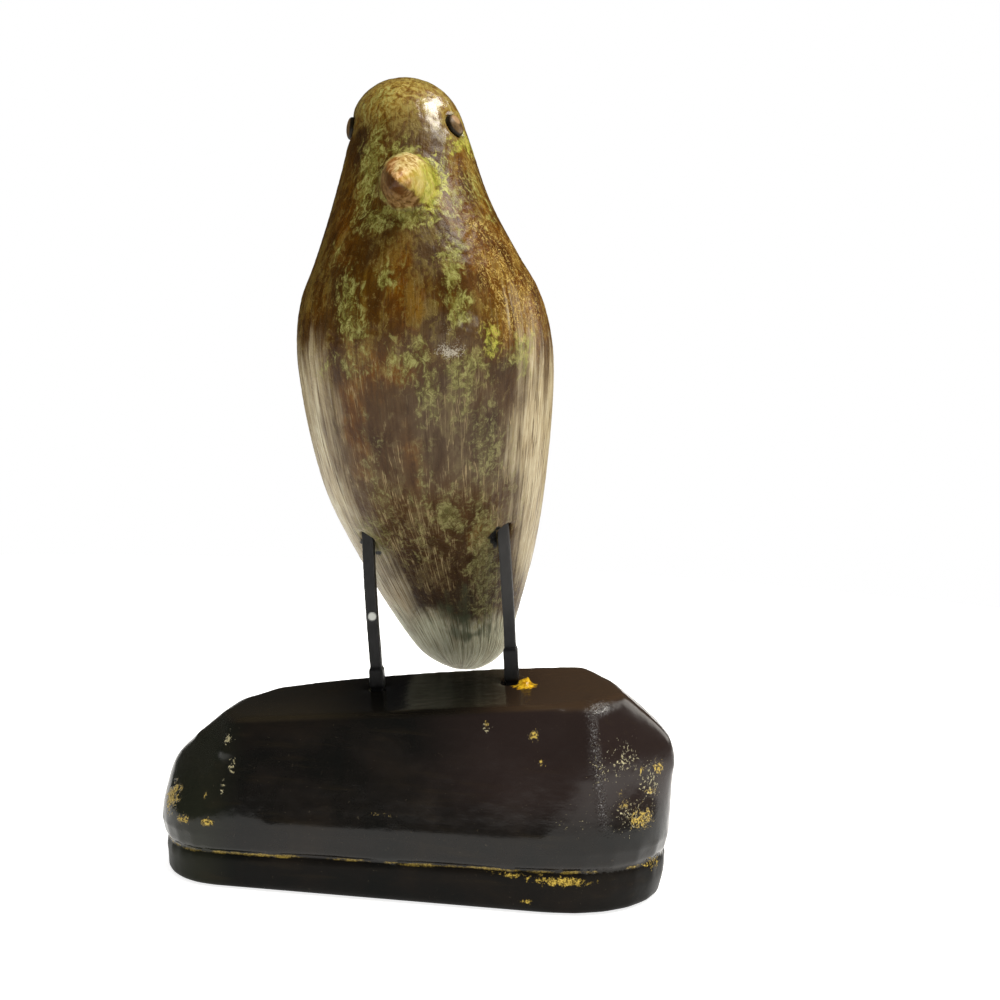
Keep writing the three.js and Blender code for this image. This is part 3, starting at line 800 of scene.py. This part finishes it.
def paintBlock(mesh, b):
    places, normals = pointsOf(mesh)
    for name, spots in (("bare", bareSpots), ("crumbs", palePecksAndGlint)):
        amount = np.zeros(len(places))
        for x, y, z, wide, deep, high, strength in spots:
            distance = (((places[:, 0] - x) / wide) ** 2 + ((places[:, 1] - y) / deep) ** 2
                        + ((places[:, 2] - z) / high) ** 2)
            amount = np.maximum(amount, strength * np.exp(-0.9 * distance))
        paintLayer(mesh, name, amount)
    lean = places[:, 0] * math.tan(math.radians(b["tilt"]))
    line, thin = b["groove"]["line"], b["groove"]["thin"]
    stretches = noiseField(places, (14, 14, 60), (1, 9, 4), 2)
    groove = np.exp(-((places[:, 2] - lean - line) / thin) ** 2) * (0.56 + 0.7 * stretches)
    paintLayer(mesh, "groove", groove)
    paintLayer(mesh, "foot", smoothStep(line + lean - places[:, 2], 0, 0.8))
    uneven = yellowLump["ragged"] * noiseField(places, (1.4, 1.4, 1.4), (3, 3, 3), 3)
    lump = yellowLump["radius"] - (fromLump(places) + uneven)
    paintLayer(mesh, "yellow", smoothStep(lump, -0.2, 0.3))
    # painted shadow of the bird's tail on the top face between the legs
    shadow = ((places[:, 0] - 1) / 27) ** 2 + ((places[:, 1] + 2) / 30) ** 2
    paintLayer(mesh, "dark", np.exp(-shadow ** 2) * smoothStep(normals[:, 2], 0.4, 0.8))
    paintLayer(mesh, "plum", smoothStep(places[:, 0], -5, 30) * smoothStep(places[:, 2], 20, 34))
    level = smoothStep(normals[:, 2], 0.5, 0.9)
    # warm brown on the upward faces, stronger to the right: the lacquer's tone lightened as painted
    # light from above
    paintLayer(mesh, "warm", level * (0.45 + 0.55 * smoothStep(places[:, 0], 10, 34)))
    paintLayer(mesh, "mossy", np.maximum(0.8 * smoothStep(-places[:, 0], 44, 58), 0.5 * level)
               * (1 - smoothStep(places[:, 0], 5, 25)))
    paintLayer(mesh, "ridge", polished(places, b))


def carveBlock(mesh, b):
    places, normals = pointsOf(mesh)
    r = b["relief"]
    swell = noiseField(places, (24, 24, 16), (4, 4, 2), 2)
    peel = noiseField(places, (2.2, 2.2, 2.2), (1, 6, 2), 2)
    keep = smoothStep(places[:, 2], 0.3, 4)
    height = (r["swell"] * swell + r["peel"] * peel) * keep
    lump = yellowLump["height"] * smoothStep(yellowLump["radius"] - fromLump(places), 0, 3)
    height += lump * (1 + noiseField(places, (1.4, 1.4, 1.4), (0, 4, 4), 2))
    movePoints(mesh, places + normals * height[:, None])


def blockMaterial(name, shine, coat):
    made, tree, shader, coords = newMaterial(name)
    cloud = noiseOf(tree, coords, 55, 5, 0.6, 0.4)
    brush = noiseOf(tree, stretched(tree, coords, (0.12, 1, 1)), 420, 5, 0.6)
    chip = noiseOf(tree, coords, 620, 5, 0.7, 1.0)
    dust = noiseOf(tree, coords, 1900, 3, 0.6)
    crumbs = noiseOf(tree, coords, 1150, 3, 0.6, 0.6)
    fleck = noiseOf(tree, stretched(tree, coords, (0.35, 1, 1)), 460, 5, 0.7)
    shade = colourRamp(tree, cloud, [
        (0.35, (13, 14, 13)), (0.55, (19, 17, 15)), (0.7, (25, 21, 17))])
    shade = blendColour(tree, times(tree, painted(tree, "plum"), 0.7), shade, colour(41, 32, 30))
    # warm brown on the upward faces: painted light from above over the lacquer's tone
    shade = blendColour(tree, times(tree, painted(tree, "warm"), 0.85), shade, colour(56, 43, 31))
    shade = blendColour(tree, times(tree, painted(tree, "mossy"), 0.7), shade, colour(36, 38, 28))
    brushed = times(tree, fade(tree, brush, 0.52, 0.74), 0.1)
    shade = blendColour(tree, brushed, shade, colour(58, 48, 30))
    # painted shadow of the bird on the top face
    shade = blendColour(tree, painted(tree, "dark"), shade, colour(6, 6, 6))
    nicks = times(tree, fade(tree, crumbs, 0.68, 0.73), 0.25)
    shade = blendColour(tree, nicks, shade, colour(86, 78, 64))

    # bare yellow specks, pale crumbs with a painted glint along the ridge, the line in the groove
    # and the lump of yellow
    specks = times(tree, torn(tree, "bare", chip, 2.2, 0.12), fade(tree, dust, 0.42, 0.5, 0.35, 1))
    crumbAndGlint = times(tree, torn(tree, "crumbs", crumbs, 1.6, 0.06), 0.8)
    line = torn(tree, "groove", fleck, 2.6, 0.25)
    goldTone = colourRamp(tree, dust, [(0.35, (104, 84, 28)), (0.65, (190, 164, 76))])
    paleTone = colourRamp(tree, dust, [(0.35, (120, 112, 78)), (0.65, (196, 188, 150))])
    shade = blendColour(tree, crumbAndGlint, shade, paleTone)
    bare = maths(tree, "MAXIMUM", specks, times(tree, line, 0.55))
    shade = blendColour(tree, bare, shade, goldTone)
    yellowTone = colourRamp(tree, chip, [(0.4, (150, 104, 8)), (0.6, (232, 190, 46))])
    shade = blendColour(tree, painted(tree, "yellow"), shade, yellowTone)
    tree.links.new(shade, shader.inputs["Base Color"])

    rough = fade(tree, cloud, 0.35, 0.65, 0.13, 0.21)
    rough = maths(tree, "ADD", rough, times(tree, maths(tree, "MAXIMUM", specks, crumbAndGlint), 0.3))
    rough = maths(tree, "ADD", rough, times(tree, painted(tree, "foot"), 0.2), True)
    tree.links.new(rough, shader.inputs["Roughness"])
    shader.inputs["Specular IOR Level"].default_value = shine
    surface = bumped(tree, brush, 0.12, 0.0003)
    surface = bumped(tree, dust, 0.1, 0.0002, surface)
    surface = bumped(tree, times(tree, crumbs, painted(tree, "ridge")), 1.0, 0.001, surface)
    surface = bumped(tree, maths(tree, "MAXIMUM", specks, crumbAndGlint), 0.5, 0.0003, surface)
    tree.links.new(surface, shader.inputs["Normal"])
    # grains of the polished ridge glint
    handled = painted(tree, "ridge")
    grit = maths(tree, "ADD", dust, times(tree, handled, 0.3))
    grains = times(tree, handled, fade(tree, grit, 0.69, 0.79), fade(tree, chip, 0.35, 0.5))
    tree.links.new(grains, shader.inputs["Coat Weight"])
    shader.inputs["Coat Roughness"].default_value = coat["rough"]
    shader.inputs["Coat IOR"].default_value = coat["ior"]
    tree.links.new(bumped(tree, crumbs, 1.0, 0.0009), shader.inputs["Coat Normal"])
    return made


def buildBlock(b):
    middle, half = b["groove"]["middle"], b["groove"]["half"]
    rise, rim, worn = b["rise"], b["rimTop"], b["knock"]
    offGroove = lambda p: abs(p.z - middle - p.x * rise) > half
    roundEnds = lambda p: abs(p.x) > 38 and (rim + p.x * rise < p.z < 37 or 1.5 < p.z < 7)
    topEdge = lambda p: p.z > b["topEdge"] + p.x * b["topRise"]
    knock = lambda p: (p - Vector(worn["place"])).length < worn["reach"]
    piece = skinOf("base", "lacquered_block", b["voxel"],
                   [(3, everywhere), (9, offGroove), (130, roundEnds), (20, topEdge), (50, knock),
                    (4, offGroove)])
    carveBlock(piece.data, b)
    paintBlock(piece.data, b)
    finishPiece(piece, blockMaterial("darkLacquer", b["shine"], b["coat"]), "base")
    piece.data.materials.append(blockMaterial("dullLacquer", b["footShine"], b["coat"]))
    # the top face and the foot are duller
    for face in piece.data.polygons:
        footTop = (b["footTop"] + face.center.x / mm * rise) * mm
        if face.normal.z > b["level"] or face.center.z < footTop:
            face.material_index = 1


buildBlock(block)


# legs

leg = {
    "voxel": 0.00034,
    "bar": (57, 102),                                # mm up, the ends of the bow
    "kink": {"leg_right": -0.35, "leg_left": 0.2},   # mm, how far each bar bows in X
    "dot": {"leg_right": (-17.2, 73.2, 1.25)},       # pale dab: x, z, radius
    "paleUpper": {"leg_right": 0.2, "leg_left": 1.0},   # how much lighter grey the upper part is
    "paleUpperFrom": (68, 84),                          # mm up
    "uneven": 0.07, "dabHeight": 0.22,               # mm
}


def legMaterial():
    made, tree, shader, coords = newMaterial("blackPaint")
    wear = noiseOf(tree, stretched(tree, coords, (1, 1, 0.4)), 700, 5, 0.65)
    shade = colourRamp(tree, wear, [(0.35, (13, 13, 14)), (0.65, (26, 26, 27))])
    # lighter grey towards the top of the bar
    shade = blendColour(tree, times(tree, painted(tree, "paleUpper"), 0.6), shade, colour(58, 57, 56))
    chips = times(tree, painted(tree, "edge"), fade(tree, wear, 0.54, 0.62), 0.5)
    shade = blendColour(tree, chips, shade, colour(78, 76, 70))
    shade = blendColour(tree, painted(tree, "dot"), shade, colour(206, 208, 202))
    tree.links.new(shade, shader.inputs["Base Color"])
    shader.inputs["Roughness"].default_value = 0.4
    shader.inputs["Specular IOR Level"].default_value = 0.25
    tree.links.new(bumped(tree, wear, 0.3, 0.0002), shader.inputs["Normal"])
    return made


def buildLeg(nodeName, pieceName, material, l):
    piece = skinOf(nodeName, pieceName, l["voxel"], [(3, everywhere)])
    places, normals = pointsOf(piece.data)
    x, z, radius = l["dot"].get(nodeName, (0, -100, 1))   # or far below, where no bar is
    away = np.hypot(places[:, 0] - x, places[:, 2] - z)
    dab = smoothStep(radius - away, -0.15, 0.2) * smoothStep(-normals[:, 1], 0.4, 0.7)
    paintLayer(piece.data, "dot", dab)
    paintLayer(piece.data, "edge", smoothStep(1 - np.abs(normals).max(axis=1), 0.12, 0.28))
    high = places[:, 2]
    # lighter grey towards the top of the bar
    paintLayer(piece.data, "paleUpper", l["paleUpper"][nodeName] * smoothStep(high, *l["paleUpperFrom"]))
    foot, top = l["bar"]
    bow = np.sin(np.clip((high - foot) / (top - foot), 0, 1) * math.pi)
    places[:, 0] += l["kink"][nodeName] * bow
    uneven = l["uneven"] * noiseField(places, (3, 3, 6), (5, 2, 8), 2)
    movePoints(piece.data, places + normals * (uneven + l["dabHeight"] * dab)[:, None])
    finishPiece(piece, material, nodeName)


blackPaint = legMaterial()
buildLeg("leg_left", "black_leg_left", blackPaint, leg)
buildLeg("leg_right", "black_leg_right", blackPaint, leg)


# eyes

eye = {
    "voxel": 0.00025,
    "ring": (2.5, 2.9),                                 # mm from the middle, the dark rim
    "irisAndGlint": {"shift": (0.0, -0.4, 1.1), "radius": 1.9},   # mm, the lighter patch: the bead's tan middle with a painted highlight, set above the middle
}


def eyeMaterial():
    made, tree, shader, coords = newMaterial("darkBead")
    cloud = noiseOf(tree, coords, 520, 4, 0.6)
    shade = colourRamp(tree, cloud, [(0.38, (66, 50, 30)), (0.62, (96, 76, 50))])
    # the bead's tan middle with a painted highlight on it
    shade = blendColour(tree, times(tree, painted(tree, "irisAndGlint"), 0.8), shade, colour(150, 120, 86))
    shade = blendColour(tree, painted(tree, "ring"), shade, colour(26, 21, 10))
    tree.links.new(shade, shader.inputs["Base Color"])
    shader.inputs["Roughness"].default_value = 0.36
    shader.inputs["Specular IOR Level"].default_value = 0.12
    tree.links.new(bumped(tree, cloud, 0.3, 0.0003), shader.inputs["Normal"])
    return made


def buildEye(nodeName, pieceName, material, e):
    piece = skinOf(nodeName, pieceName, e["voxel"], [(3, everywhere)])
    places, normals = pointsOf(piece.data)
    middle = places.mean(axis=0)
    offset = places - middle
    axis = np.linalg.eigh(np.cov(offset.T))[1][:, 0]    # the bead is flattest along its own axis
    radial = np.linalg.norm(offset - (offset @ axis)[:, None] * axis, axis=1)
    low, high = e["ring"]
    paintLayer(piece.data, "ring", smoothStep(radial, low, high))
    away = np.linalg.norm(offset - np.array(e["irisAndGlint"]["shift"]), axis=1)
    paintLayer(piece.data, "irisAndGlint", smoothStep(e["irisAndGlint"]["radius"] - away, 0, 0.5))
    finishPiece(piece, material, nodeName)


darkBead = eyeMaterial()
buildEye("eye_left", "bead_eye_left", darkBead, eye)
buildEye("eye_right", "bead_eye_right", darkBead, eye)

print("looks done")
